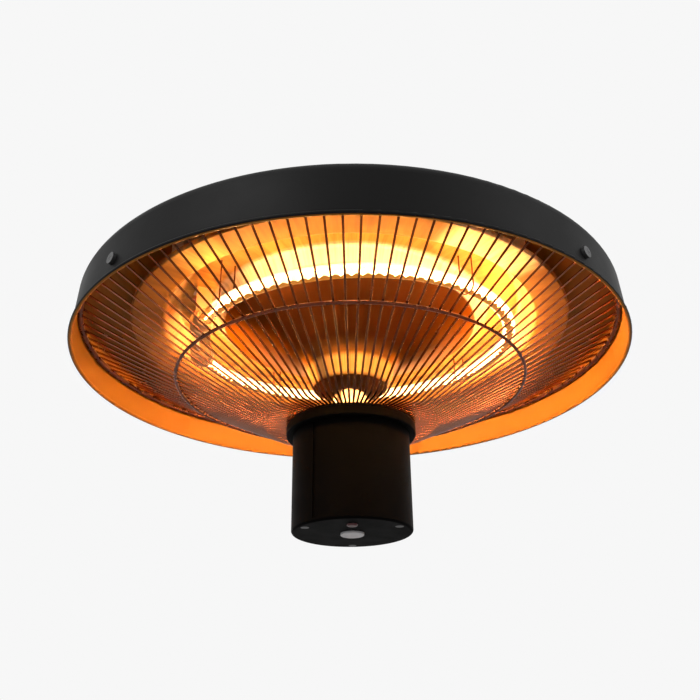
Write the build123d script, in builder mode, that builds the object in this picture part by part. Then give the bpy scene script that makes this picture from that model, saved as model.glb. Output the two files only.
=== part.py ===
"""Hanging infrared patio heater, in millimetres. +Z is up, and its origin is in the hanging hole."""

from math import atan2, cos, degrees, pi, radians, sin, sqrt, tan
import os

from build123d import *

# Clearances and fits
thread_clearance = 0.05
pivot_clearance = 0.06
pivot_side_gap = 0.3
hole_clearance = 0.15
seat_gap = 0.1
weld_gap = 0.05
ring_clearance = 0.35

# Bail and pivot
bail_rise = 50.0
bail_thickness = 3.0
strap_width = 24.0
bail_corner = 12.0
hanging_hole_radius = 4.5
pivot_bolt_radius = 3.0
pivot_head_radius = 5.5
pivot_head_height = 4.0
pivot_washer_radius = 8.0
pivot_washer_thickness = 1.5
pivot_nut_flats = 10.0
pivot_nut_thickness = 5.0
pivot_bolt_tail = 1.5
pivot_headroom = 8.0
bracket_thickness = 2.5
ear_gap = 3.5
bracket_bend = 4.0

# Shade
shade_diameter = 425.0
shade_height = 80.0
shade_wall = 1.0
lip_bead_radius = 1.5
skirt_height = 38.0
skirt_inset = 2.3
shoulder_inset = 13.0
shoulder_rise = 8.5
shoulder_round = 10.0
crown_margin = 4.0
crown_round = 10.0

# Reflector
reflector_radius = 171.0
reflector_rim_height = 30.0
reflector_rim_turn = 3.5
reflector_rim_round = 1.2
reflector_wall = 1.0
flange_width = 23.0
flange_round = 3.0
wall_run = 12.0
channel_width = 28.0
channel_rise = 19.0
channel_round = 5.0
ridge_run = 7.0
ridge_rise = 8.0
ridge_round = 3.0
cone_foot_radius = 37.0
cone_foot_rise = -21.5
cone_foot_round = 12.0
boss_radius = 28.5
boss_drop = 15.0
boss_round = 1.5

# Stem
stem_radius = 10.0
stem_wall = 3.0
stem_top_reach = 10.0
stem_tail = 3.0
stem_nut_flats = 30.0
stem_nut_thickness = 6.0
stem_washer_radius = 20.0
stem_washer_thickness = 1.5
sleeve_radius = 13.5
sleeve_length = 30.0
upper_spacer_radius = 13.0
crown_spacer_radius = 18.0
crown_spacer_length = 7.8

# Heat baffle
baffle_radius = 138.0
baffle_wall = 1.0
baffle_rim_drop = 4.8
baffle_flat_radius = 40.0

# Stand-off blocks
block_inset = 6.0
block_width = 12.0
block_arc = 5.0
block_count = 4
block_first_angle = 45.0

# Screws of metric size, by shank radius
shade_screw_radius = 2.0
shade_screw_length = 14.0
screw_head_ratio = 2.0
screw_head_height_ratio = 1.1

# Heating tube
tube_inset = 13.3
tube_centre_x = 3.0
tube_height = 24.5
tube_tilt = 3.0
tube_side_tilt = 1.45
tube_radius = 5.0
tube_wall = 1.0
near_glow_angle = -143.0
far_glow_angle = 169.0
near_tube_end = -157.0
far_tube_end = 177.0

# Filament
coil_curls = 93
coil_wire = 1.6
coil_play = 0.2
taper_curls = 1.5
filament_tail = 2.0
filament_seam_turn = 80.0

# Ceramic caps and their brackets
cap_play = 1.0
cap_wall = 1.5
cap_length = 20.0
cap_bore_depth = 13.0
cap_lead_inset = 1.0
near_cap_angle = -156.0
far_cap_angle = 176.0
cap_bracket_wall = 1.2
cap_bracket_land = 2.3
cap_bracket_width = 12.0
cap_bracket_foot = 12.0
rivet_inset = 4.8
rivet_radius = 1.6
rivet_head_radius = 3.0
rivet_head_height = 1.0

# Tube clips
clip_wire = 1.2
clip_angles = (-137.0, -50.0, 40.0, 125.0)
clip_play = 0.25
clip_hook = 6.0
clip_hook_bend = 1.0

# Leads and cable
lead_radius = 1.6
lead_run_out = 9.0
lead_bend = 6.0
lead_tight_bend = 3.6
lead_past_terminal = 3.0
grommet_wall = 1.45
grommet_flange_width = 1.6
grommet_flange = 1.1
control_cable_radius = 2.2
control_cable_bend = 10.0
control_cable_straight = 1.3
control_cable_headroom = 3.0

# Guard
guard_wire_count = 106
guard_wire = 1.6
guard_phase = -91.0
guard_slope = 26.5
guard_bend = 14.0
guard_inner_radius = 36.0
guard_ring_height = 22.8
outer_ring_wire = 4.0
mid_ring_wire = 2.5
mid_ring_radius = 134.0
wire_overrun = 0.6
collar_inset = 1.5
collar_thickness = 1.5

# Guard clips
guard_clip_angles = (-135.0, -45.0, 90.0)
guard_clip_arc = 4.0
guard_clip_wall = 1.2
guard_clip_ledge = 5.2
guard_clip_leg = 13.0
guard_clip_screw_radius = 2.0
guard_clip_screw_drop = 8.1
guard_clip_screw_tail = 1.5
guard_clip_nut_flats = 7.0
guard_clip_nut_thickness = 3.2

# Junction cover, gland and terminal block
cover_radius = 42.0
cover_flange_width = 10.0
cover_flange_round = 1.0
cover_wall = 1.5
cover_round = 6.0
cover_strap_cut = 0.5
cover_screw_radius = 1.75
cover_screw_length = 8.0
cover_screw_count = 4
gland_height = 15.0
gland_thread_radius = 6.0
gland_bore = 4.0
gland_body_radius = 9.0
gland_body_length = 18.0
gland_inside_length = 8.0
gland_round = 2.5
gland_nut_flats = 15.0
gland_nut_thickness = 3.0
terminal_x = -28.0
terminal_width = 12.0
terminal_length = 30.0
terminal_height = 12.0
terminal_round = 1.0
terminal_screw_radius = 1.8
terminal_pitch = 9.0

# Hub
hub_flange_overhang = 5.0
hub_radius = 44.0
hub_flange_height = 8.0
hub_flange_web = 3.0
hub_edge_round = 1.2
hub_wall = 2.2
hub_length = 70.0
hub_spigot = 3.5
seam_angle = -126.5
seam_width = 2.6
seam_depth = 0.9
notch_width = 4.5
notch_height = 4.0
base_thickness = 3.0
base_round = 1.8
base_screw_count = 3
base_screw_radius = 1.5
base_screw_length = 13.0
base_head_radius = 3.0
base_head_height = 1.8
base_boss_radius = 4.2
base_boss_height = 14.0
base_boss_overlap = 0.6
board_gap = 4.0
board_thickness = 1.6
board_height = 11.0
board_pillar_radius = 3.0
board_pillar_inset = 6.0
board_pillar_count = 3
board_pin_radius = 1.2
board_pin_rise = 0.8
switch_side = 8.0
switch_height = 6.0
switch_round = 0.6
button_radius = 8.6
button_play = 0.4
button_proud = 1.5
button_flange_width = 1.6
button_flange = 1.3
button_plunger_radius = 2.0
button_seat_gap = 0.3
button_stroke = 1.5
button_round = 0.8
switch_gap = 0.3
relay_length = 19.0
relay_width = 15.0
relay_height = 15.0
relay_round = 0.8
relay_x = 14.0
lens_radius = 4.0
lens_offset = 27.0
lens_flange_width = 1.5
lens_flange = 1.2
lens_proud = 1.4

# Radii and heights that follow from those above
stem_bore = stem_radius - stem_wall
hub_flange_radius = hub_radius + hub_flange_overhang
collar_radius = hub_flange_radius - collar_inset
cover_flange_radius = cover_radius + cover_flange_width
cover_screw_circle = (cover_radius + cover_flange_radius) / 2
crown_radius = cover_flange_radius + crown_margin
bracket_half_span = cover_radius + ear_gap + bracket_thickness
flange_inner_radius = reflector_radius - flange_width
channel_outer_radius = flange_inner_radius - wall_run
channel_inner_radius = channel_outer_radius - channel_width
ridge_radius = channel_inner_radius - ridge_run
block_outer_radius = reflector_radius - block_inset
block_inner_radius = block_outer_radius - block_width
tube_ring_radius = channel_outer_radius - tube_inset
coil_radius = tube_radius - tube_wall - coil_wire / 2 - coil_play
cap_bore = tube_radius + cap_play
cap_radius = cap_bore + cap_wall
cap_bracket_radius = cap_radius + cap_bracket_land
grommet_radius = lead_radius + hole_clearance + grommet_wall
grommet_flange_radius = grommet_radius + grommet_flange_width
lead_centre_radius = lead_past_terminal - terminal_x
button_hole_radius = button_radius + button_play
button_flange_radius = button_hole_radius + button_flange_width
lens_flange_radius = lens_radius + lens_flange_width
base_screw_circle = hub_radius - hub_wall - base_boss_radius + base_boss_overlap
board_radius = base_screw_circle - base_boss_radius - board_gap
board_pillar_circle = board_radius - board_pillar_inset
cable_room = control_cable_headroom + control_cable_radius + control_cable_bend + control_cable_straight
cover_height = cover_wall + cable_room + terminal_height
pivot_height = cover_height + pivot_headroom

# Heights of the main levels
pivot_level = -(bail_rise + bail_thickness / 2)
crown_level = pivot_level - pivot_height
lip_level = crown_level - shade_height
rim_level = lip_level + reflector_rim_height
channel_level = rim_level + channel_rise
boss_level = lip_level - boss_drop
collar_level = boss_level - sleeve_length - collar_thickness
hub_level = collar_level
housing_level = hub_level - hub_flange_height
base_level = housing_level - hub_length
base_bottom = base_level - base_thickness
tube_level = lip_level + tube_height
baffle_level = crown_level - shade_wall - crown_spacer_length - baffle_wall

os.makedirs("parts", exist_ok=True)


def save(piece, name):
    """Labels a finished piece and writes it."""
    piece.part.label = name
    export_step(piece.part, f"parts/{name}.step")


def round_hex(flats):
    """Radius of the circle round a hexagon of that size across flats."""
    return flats / sqrt(3)


def around(radius, angle, height):
    """Point at a radius, an angle in degrees and a height."""
    return Vector(radius * cos(radians(angle)), radius * sin(radians(angle)), height)


# Shade: skirt, shoulder, cone and flat crown, with a hemmed lip
lip_radius = shade_diameter / 2 - lip_bead_radius
skirt_top_radius = lip_radius - skirt_inset
shoulder_radius = skirt_top_radius - shoulder_inset
shoulder_level = lip_level + skirt_height + shoulder_rise
cone_rise = (crown_level - shoulder_level) / (shoulder_radius - crown_radius)
cone_angle = degrees(atan2(crown_level - shoulder_level, shoulder_radius - crown_radius))


def skirt_outer(height):
    """Outer radius of the skirt at a height above the lip."""
    share = (height - lip_bead_radius) / (skirt_height - lip_bead_radius)
    return lip_radius - skirt_inset * share


def shade_top(radius):
    """Level of the shade's outer face on its cone."""
    return shoulder_level + (shoulder_radius - radius) * cone_rise


shade_screw_circle = (block_inner_radius + block_outer_radius) / 2
shade_screw_plane = Plane(
    origin=(shade_screw_circle, 0, shade_top(shade_screw_circle)),
    x_dir=(0, 1, 0),
    z_dir=(sin(radians(cone_angle)), 0, cos(radians(cone_angle))),
)
ledge_top = guard_ring_height - outer_ring_wire / 2 - 2 * seat_gap
clip_screw_height = ledge_top - guard_clip_screw_drop


def clip_screw_plane(angle):
    """Plane on the skirt's outer face, looking outward at a guard clip's screw."""
    skirt_lean = skirt_inset / (skirt_height - lip_bead_radius)
    return Plane(origin=around(skirt_outer(clip_screw_height), angle, lip_level + clip_screw_height),
                 x_dir=(0, 0, 1), z_dir=around(1, angle, skirt_lean))


def tube_spot(angle, outward=0.0):
    """Point on the tube's axis circle, or outward of it, at the tube's own angle."""
    spot = around(tube_ring_radius + outward, angle, 0)
    rise = spot.Y * tan(radians(tube_tilt)) + spot.X * tan(radians(tube_side_tilt))
    return Vector(spot.X + tube_centre_x, spot.Y, tube_level + rise)


def cap_frame(angle, turn):
    """Level plane at a ceramic cap's middle: X away from the ring's centre, Z out of the tube's end."""
    outward = around(1, angle, 0)
    return Plane(origin=tube_spot(angle), x_dir=outward, z_dir=(-turn * outward.Y, turn * outward.X, 0))


cap_frames = [cap_frame(near_cap_angle, -1), cap_frame(far_cap_angle, 1)]
lead_risers = [frame.origin + frame.z_dir * (cap_length / 2 + lead_run_out) for frame in cap_frames]
lead_angles = [degrees(atan2(riser.Y, riser.X)) for riser in lead_risers]

with BuildPart() as shade:
    with BuildSketch(Plane.XZ) as shade_profile:
        with BuildLine():
            shade_path = FilletPolyline(
                (lip_radius, lip_level + lip_bead_radius),
                (skirt_top_radius, lip_level + skirt_height),
                (shoulder_radius, shoulder_level),
                (crown_radius, crown_level),
                (stem_radius + hole_clearance, crown_level),
                radius=[shoulder_round, shoulder_round, crown_round],
            )
            offset(shade_path, amount=shade_wall, side=Side.LEFT)
        make_face()
        with Locations((lip_radius, lip_level + lip_bead_radius)):
            Circle(lip_bead_radius)
    revolve(axis=Axis.Z)
    with PolarLocations(0, block_count, start_angle=block_first_angle):
        with Locations(shade_screw_plane):
            Hole(shade_screw_radius + hole_clearance, depth=2 * shade_wall)
    for clip_angle in guard_clip_angles:
        with Locations(clip_screw_plane(clip_angle)):
            Hole(guard_clip_screw_radius + hole_clearance, depth=2 * shade_wall)
    with Locations(Plane.XY.offset(crown_level)):
        with PolarLocations(cover_screw_circle, cover_screw_count, start_angle=360 / cover_screw_count / 2):
            Hole(cover_screw_radius + hole_clearance, depth=2 * shade_wall)
    with Locations(*[around(lead_centre_radius, angle, crown_level) for angle in lead_angles]):
        Hole(lead_radius + hole_clearance, depth=2 * shade_wall)
save(shade, "shade")

# Shade screws: pan heads on the cone, shanks into the stand-off blocks
with BuildPart() as shade_screws:
    with PolarLocations(0, block_count, start_angle=block_first_angle):
        with Locations(shade_screw_plane):
            Cylinder(shade_screw_radius * screw_head_ratio, shade_screw_radius * screw_head_height_ratio,
                     align=(Align.CENTER, Align.CENTER, Align.MIN))
            Cylinder(shade_screw_radius, shade_screw_length, align=(Align.CENTER, Align.CENTER, Align.MAX))
    head_faces = shade_screws.faces().filter_by(GeomType.PLANE).sort_by(Axis.Z)[-block_count:]
    fillet(head_faces.edges(), shade_screw_radius * screw_head_height_ratio / 2)
save(shade_screws, "shade_screws")

# Stand-off blocks between the reflector's flange and the shade
block_floor = rim_level + reflector_wall + seat_gap
block_drop = shade_wall / cos(radians(cone_angle)) + seat_gap
with BuildPart() as standoff_blocks:
    with BuildSketch(Plane.XZ) as block_profile:
        with BuildLine():
            Polyline(
                (block_inner_radius, block_floor),
                (block_outer_radius, block_floor),
                (block_outer_radius, shade_top(block_outer_radius) - block_drop),
                (block_inner_radius, shade_top(block_inner_radius) - block_drop),
                close=True,
            )
        make_face()
    block = revolve(block_profile.sketch, axis=Axis.Z, revolution_arc=block_arc, mode=Mode.PRIVATE)
    with PolarLocations(0, block_count, start_angle=block_first_angle - block_arc / 2):
        add(block)
    with PolarLocations(0, block_count, start_angle=block_first_angle):
        with Locations(shade_screw_plane):
            Cylinder(shade_screw_radius + thread_clearance, shade_screw_length + seat_gap,
                     align=(Align.CENTER, Align.CENTER, Align.MAX), mode=Mode.SUBTRACT)
save(standoff_blocks, "standoff_blocks")

# Reflector: flange, wall, ring channel, ridge, cone and flat boss
reflector_points = [
    (reflector_radius, rim_level + reflector_rim_turn),
    (reflector_radius, rim_level),
    (flange_inner_radius, rim_level),
    (channel_outer_radius, channel_level),
    (channel_inner_radius, channel_level),
    (ridge_radius, rim_level + ridge_rise),
    (cone_foot_radius, rim_level + cone_foot_rise),
    (boss_radius, boss_level),
    (stem_radius + hole_clearance, boss_level),
]
reflector_rounds = [
    reflector_rim_round,
    flange_round,
    channel_round,
    channel_round,
    ridge_round,
    cone_foot_round,
    boss_round,
]
clip_leg = tube_radius + clip_play + clip_wire / 2
bracket_rivet_reach = cap_bracket_foot - rivet_inset
rivet_spots = [frame.origin + frame.z_dir * bracket_rivet_reach for frame in cap_frames]

with BuildPart() as reflector:
    with BuildSketch(Plane.XZ) as reflector_profile:
        with BuildLine():
            reflector_path = FilletPolyline(*reflector_points, radius=reflector_rounds)
            offset(reflector_path, amount=reflector_wall, side=Side.RIGHT)
        make_face()
    revolve(axis=Axis.Z)
    for angle in clip_angles:
        for side in (-1, 1):
            leg_spot = tube_spot(angle, side * clip_leg)
            with Locations((leg_spot.X, leg_spot.Y, channel_level + reflector_wall)):
                Hole(clip_wire / 2 + 2 * hole_clearance, depth=2 * reflector_wall)
    for riser in lead_risers:
        with Locations((riser.X, riser.Y, channel_level + reflector_wall)):
            Hole(grommet_radius + hole_clearance, depth=2 * reflector_wall)
    for spot in rivet_spots:
        with Locations((spot.X, spot.Y, channel_level + reflector_wall)):
            Hole(rivet_radius + thread_clearance, depth=2 * reflector_wall)
save(reflector, "reflector")

# Heat baffle: shallow steel cone over the reflector
with BuildPart() as heat_baffle:
    with BuildSketch(Plane.XZ) as baffle_profile:
        with BuildLine():
            baffle_path = FilletPolyline(
                (baffle_radius, shade_top(baffle_radius) - baffle_rim_drop),
                (baffle_flat_radius, baffle_level),
                (stem_radius + hole_clearance, baffle_level),
                radius=crown_round,
            )
            offset(baffle_path, amount=baffle_wall, side=Side.RIGHT)
        make_face()
    revolve(axis=Axis.Z)
    with Locations(*[around(lead_centre_radius, angle, baffle_level + baffle_wall) for angle in lead_angles]):
        Hole(lead_radius + 2 * hole_clearance, depth=2 * baffle_wall)
save(heat_baffle, "heat_baffle")


def sleeve(outer, inner, low, high):
    """Plain sleeve round the Z axis between two levels."""
    with BuildPart() as ring:
        with BuildSketch(Plane.XY.offset(low)):
            Circle(outer)
            Circle(inner, mode=Mode.SUBTRACT)
        extrude(amount=high - low)
    return ring


# Stem: hollow threaded rod with its nuts, washer and spacers
strap_top = crown_level + bracket_thickness
washer_top = strap_top + stem_washer_thickness
stem_top = washer_top + stem_top_reach
web_level = hub_level - hub_flange_web
stem_bottom = web_level - stem_nut_thickness - stem_tail
thread_bore = stem_radius + thread_clearance
reflector_nut_level = boss_level + reflector_wall

stem_tube = sleeve(stem_radius, stem_bore, stem_bottom, stem_top)
save(stem_tube, "stem_tube")

spacer_sleeve = sleeve(sleeve_radius, thread_bore, boss_level - sleeve_length, boss_level)
save(spacer_sleeve, "spacer_sleeve")

reflector_nut_top = reflector_nut_level + stem_nut_thickness
upper_spacer = sleeve(upper_spacer_radius, thread_bore, reflector_nut_top, baffle_level)
save(upper_spacer, "upper_spacer")

crown_spacer = sleeve(crown_spacer_radius, thread_bore, baffle_level + baffle_wall, crown_level - shade_wall)
save(crown_spacer, "crown_spacer")

stem_washer = sleeve(stem_washer_radius, thread_bore, strap_top, washer_top)
save(stem_washer, "stem_washer")

with BuildPart() as stem_nuts:
    for nut_level in (washer_top, reflector_nut_level, web_level - stem_nut_thickness):
        with BuildSketch(Plane.XY.offset(nut_level)):
            RegularPolygon(round_hex(stem_nut_flats), 6)
            Circle(thread_bore, mode=Mode.SUBTRACT)
        extrude(amount=stem_nut_thickness)
save(stem_nuts, "stem_nuts")

# Heating tube: quartz, bent to a ring that is open on the left
tube_plane = Plane.XY.move(Location((tube_centre_x, 0, tube_level), (tube_tilt, -tube_side_tilt, 0)))
tube_axis = Axis(tube_plane.origin, tube_plane.z_dir)


def tube_point(angle, outward=0.0, lift=0.0):
    """Point in the tilted ring's plane, at an angle on the ring, off the tube's axis by outward and lift."""
    return tube_plane.from_local_coords(around(tube_ring_radius + outward, angle, lift))


def tube_heading(angle):
    """Way along the tube's axis at an angle, towards larger angles."""
    ahead = tube_point(angle + 0.01) - tube_point(angle - 0.01)
    return ahead.normalized()


with BuildPart() as quartz_tube:
    with BuildSketch(Plane(origin=tube_point(near_tube_end), z_dir=tube_heading(near_tube_end))):
        Circle(tube_radius)
        Circle(tube_radius - tube_wall, mode=Mode.SUBTRACT)
    revolve(axis=tube_axis, revolution_arc=far_tube_end - near_tube_end)
save(quartz_tube, "quartz_tube")


# Filament: one wire, straight at each end, along the tube's axis and coiled where it glows
def coil_point(turns):
    """Point of the coil after a number of turns, tapering to the tube's axis at both ends."""
    angle = near_glow_angle + (far_glow_angle - near_glow_angle) * turns / coil_curls
    from_end = min(turns, coil_curls - turns, taper_curls) / taper_curls
    radius = coil_radius * from_end**2 * (3 - 2 * from_end)
    lean = 2 * pi * turns
    return tube_point(angle, radius * cos(lean), radius * sin(lean))


def coil_heading(turns, step=1e-4):
    """Way along the wire after a number of turns."""
    return (coil_point(min(turns + step, coil_curls)) - coil_point(max(turns - step, 0.0))).normalized()


def biarc(start, heading, finish, end_heading):
    """Two tangent arcs from one point and way to another."""
    chord = finish - start
    both = heading + end_heading
    share = 2 * (1 - heading.dot(end_heading))
    along = chord.dot(both)
    reach = (sqrt(along**2 + share * chord.dot(chord)) - along) / share
    middle = (start + finish + (heading - end_heading) * reach) * 0.5
    first = Edge.make_tangent_arc(start, heading, middle)
    second = Edge.make_tangent_arc(middle, first % 1, finish)
    return [first, second]


near_cap_mouth = near_cap_angle + degrees(cap_length / 2 / tube_ring_radius)
far_cap_mouth = far_cap_angle - degrees(cap_length / 2 / tube_ring_radius)
near_straight = tube_point(near_cap_mouth)
far_straight = tube_point(far_cap_mouth)
near_lead_in = Edge.make_tangent_arc(near_straight, tube_heading(near_cap_mouth), tube_point(near_glow_angle))
far_lead_in = Edge.make_tangent_arc(tube_point(far_glow_angle), tube_heading(far_glow_angle), far_straight)
coil_edges = [Edge.make_line(near_straight - (near_lead_in % 0) * filament_tail, near_straight), near_lead_in]
for half_turn in range(2 * coil_curls):
    here = half_turn / 2
    there = here + 0.5
    coil_edges += biarc(coil_point(here), coil_heading(here), coil_point(there), coil_heading(there))
coil_edges += [far_lead_in, Edge.make_line(far_straight, far_straight + (far_lead_in % 1) * filament_tail)]
coil_path = Wire(coil_edges)

coil_samples = [coil_point(turn / 24) for turn in range(24 * coil_curls + 1)]
coil_gap = min(
    (coil_samples[i] - coil_samples[j]).length
    for i in range(len(coil_samples))
    for j in range(i + 16, min(i + 60, len(coil_samples)))
)
print("filament: least gap to itself", round(coil_gap - coil_wire, 2), "mm")
print("filament: wire length", round(coil_path.length), "mm")

with BuildPart() as filament:
    with BuildSketch(Plane(origin=coil_path @ 0, z_dir=coil_path % 0)):
        with Locations(Rotation(0, 0, filament_seam_turn)):
            Circle(coil_wire / 2)
    sweep(path=coil_path)
save(filament, "filament")

# Ceramic caps on the tube's ends
with BuildPart() as end_caps:
    for frame in cap_frames:
        with Locations(frame):
            Cylinder(cap_radius, cap_length)
    fillet(end_caps.edges().filter_by(GeomType.CIRCLE), hub_edge_round)
    for frame in cap_frames:
        with Locations(frame.offset(-cap_length / 2)):
            Cylinder(cap_bore, cap_bore_depth,
                     align=(Align.CENTER, Align.CENTER, Align.MIN), mode=Mode.SUBTRACT)
            Cylinder(lead_radius + hole_clearance, cap_length,
                     align=(Align.CENTER, Align.CENTER, Align.MIN), mode=Mode.SUBTRACT)
save(end_caps, "end_caps")

# Brackets that hold the caps: an eye, a neck and a foot under the reflector's channel
foot_level = channel_level - cap_bracket_wall
with BuildPart() as tube_end_brackets:
    for frame in cap_frames:
        rise = channel_level - frame.origin.Z
        with Locations(frame):
            Cylinder(cap_bracket_radius, cap_bracket_wall)
        upright = Plane(origin=frame.origin, x_dir=frame.x_dir, z_dir=frame.z_dir)
        with BuildSketch(upright) as neck:
            up_sign = 1 if upright.y_dir.Z > 0 else -1
            with Locations((0, up_sign * rise / 2)):
                Rectangle(cap_bracket_width, rise)
        extrude(amount=cap_bracket_wall / 2, both=True)
        foot_middle = frame.origin + frame.z_dir * (cap_bracket_foot / 2)
        foot_origin = (foot_middle.X, foot_middle.Y, foot_level)
        with BuildSketch(Plane(origin=foot_origin, x_dir=frame.x_dir, z_dir=(0, 0, 1))):
            Rectangle(cap_bracket_width, cap_bracket_foot)
        extrude(amount=cap_bracket_wall)
        with Locations(frame):
            Cylinder(cap_radius + hole_clearance, 4 * cap_bracket_wall, mode=Mode.SUBTRACT)
    for spot in rivet_spots:
        with Locations((spot.X, spot.Y, channel_level)):
            Hole(rivet_radius + thread_clearance, depth=4 * cap_bracket_wall)
save(tube_end_brackets, "tube_end_brackets")

# Rivets of the two brackets
with BuildPart() as bracket_rivets:
    for spot in rivet_spots:
        for start, length, radius in (
            (foot_level - rivet_head_height, rivet_head_height, rivet_head_radius),
            (foot_level, cap_bracket_wall + reflector_wall, rivet_radius),
            (channel_level + reflector_wall, rivet_head_height, rivet_head_radius),
        ):
            with Locations((spot.X, spot.Y, start)):
                Cylinder(radius, length, align=(Align.CENTER, Align.CENTER, Align.MIN))
save(bracket_rivets, "bracket_rivets")

# Tube clips: wire hooks under the tube, bent over above the reflector
hook_level = channel_level + reflector_wall + clip_wire / 2 + seat_gap
with BuildPart() as tube_clips:
    for angle in clip_angles:
        spot = tube_spot(angle)
        outward = around(1, angle, 0)
        clip_plane = Plane(origin=(spot.X, spot.Y, 0), x_dir=outward, z_dir=outward.cross(Vector(0, 0, 1)))
        up = 1 if clip_plane.y_dir.Z > 0 else -1
        bottom = up * (spot.Z - clip_leg)
        top = up * hook_level
        with BuildLine(clip_plane) as clip_line:
            clip_path = FilletPolyline(
                (clip_leg + clip_hook, top),
                (clip_leg, top),
                (clip_leg, bottom),
                (-clip_leg, bottom),
                (-clip_leg, top),
                (-clip_leg - clip_hook, top),
                radius=[clip_hook_bend, clip_leg - seat_gap, clip_leg - seat_gap, clip_hook_bend],
            )
        with BuildSketch(Plane(origin=clip_path @ 0, z_dir=clip_path % 0)):
            Circle(clip_wire / 2)
        sweep(path=clip_path)
save(tube_clips, "tube_clips")

# Leads from the caps, over the reflector and up to the terminal block
lead_low = channel_level + reflector_wall + grommet_flange + seat_gap + lead_tight_bend
lead_high = baffle_level - lead_bend
with BuildPart() as lead_wires:
    for frame, riser, angle in zip(cap_frames, lead_risers, lead_angles):
        inside_cap = frame.origin + frame.z_dir * (cap_bore_depth + cap_lead_inset - cap_length / 2)
        with BuildLine():
            lead_path = FilletPolyline(
                inside_cap,
                riser,
                Vector(riser.X, riser.Y, lead_low),
                around(lead_centre_radius, angle, lead_high),
                around(lead_centre_radius, angle, crown_level),
                radius=[lead_bend, lead_tight_bend, lead_bend],
            )
        with BuildSketch(Plane(origin=lead_path @ 0, z_dir=lead_path % 0)):
            Circle(lead_radius)
        sweep(path=lead_path)
save(lead_wires, "lead_wires")

# Grommets of the leads in the reflector
with BuildPart() as lead_grommets:
    for riser in lead_risers:
        for start, length, radius in (
            (channel_level - grommet_flange - seat_gap, grommet_flange, grommet_flange_radius),
            (channel_level - seat_gap, reflector_wall + 2 * seat_gap, grommet_radius),
            (channel_level + reflector_wall + seat_gap, grommet_flange, grommet_flange_radius),
        ):
            with Locations((riser.X, riser.Y, start)):
                Cylinder(radius, length, align=(Align.CENTER, Align.CENTER, Align.MIN))
    for riser in lead_risers:
        with Locations((riser.X, riser.Y, channel_level)):
            Cylinder(lead_radius + hole_clearance, 4 * grommet_radius, mode=Mode.SUBTRACT)
save(lead_grommets, "lead_grommets")

# Guard: outer ring inside the skirt, radial wires on it, mid ring under the wires
ring_level = lip_level + guard_ring_height
guard_ring_radius = skirt_outer(guard_ring_height) - shade_wall - ring_clearance - outer_ring_wire / 2
slope_sin = sin(radians(guard_slope))
slope_cos = cos(radians(guard_slope))
outer_step = (outer_ring_wire + guard_wire) / 2 + weld_gap
line_radius = guard_ring_radius - outer_step * slope_sin
line_level = ring_level + outer_step * slope_cos
wire_flat_level = collar_level + collar_thickness + guard_wire / 2 + weld_gap


def guard_line(radius):
    """Level of a guard wire's axis on its straight slope."""
    return line_level - (line_radius - radius) * slope_sin / slope_cos


wire_corner_radius = line_radius - (line_level - wire_flat_level) * slope_cos / slope_sin
bend_reach = guard_bend * tan(radians(guard_slope / 2))
bend_start_radius = wire_corner_radius - bend_reach
bend_end_radius = wire_corner_radius + bend_reach * slope_cos
wire_end_radius = guard_ring_radius + wire_overrun


def wires_around(path):
    """Wire along one path, repeated all round the guard."""
    with BuildPart() as one_wire:
        with BuildSketch(Plane(origin=path @ 0, z_dir=path % 0)):
            Circle(guard_wire / 2)
        sweep(path=path)
    with BuildPart() as all_wires:
        with PolarLocations(0, guard_wire_count, start_angle=guard_phase):
            add(one_wire.part)
    return all_wires


with BuildLine(Plane.XZ) as wire_slope_line:
    Line(
        (bend_end_radius, guard_line(bend_end_radius)),
        (wire_end_radius, guard_line(wire_end_radius)),
    )
guard_wires = wires_around(wire_slope_line.line)
save(guard_wires, "guard_wires")

# Bent inner ends of the wires, flat on the collar
with BuildLine(Plane.XZ) as wire_end_line:
    bend_start = (bend_start_radius, wire_flat_level)
    Line((guard_inner_radius, wire_flat_level), bend_start)
    JernArc(start=bend_start, tangent=(1, 0), radius=guard_bend, arc_size=guard_slope)
guard_wire_ends = wires_around(wire_end_line.line)
save(guard_wire_ends, "guard_wire_ends")

# The guard's rings and collar

with BuildPart() as guard_outer_ring:
    with Locations((0, 0, ring_level)):
        Torus(guard_ring_radius, outer_ring_wire / 2)
save(guard_outer_ring, "guard_outer_ring")

mid_step = (mid_ring_wire + guard_wire) / 2 + weld_gap
mid_touch_radius = mid_ring_radius - mid_step * slope_sin
mid_ring_level = guard_line(mid_touch_radius) - mid_step * slope_cos
with BuildPart() as guard_mid_ring:
    with Locations((0, 0, mid_ring_level)):
        Torus(mid_ring_radius, mid_ring_wire / 2)
save(guard_mid_ring, "guard_mid_ring")

guard_collar = sleeve(collar_radius, thread_bore, collar_level, collar_level + collar_thickness)
save(guard_collar, "guard_collar")

# Guard clips: ledges that carry the outer ring, screwed through the skirt
ledge_low = ledge_top - guard_clip_wall
leg_low = ledge_top - guard_clip_leg


def skirt_seat(height):
    """Radius of a clip's back at a height above the lip."""
    return skirt_outer(height) - shade_wall - seat_gap


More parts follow.
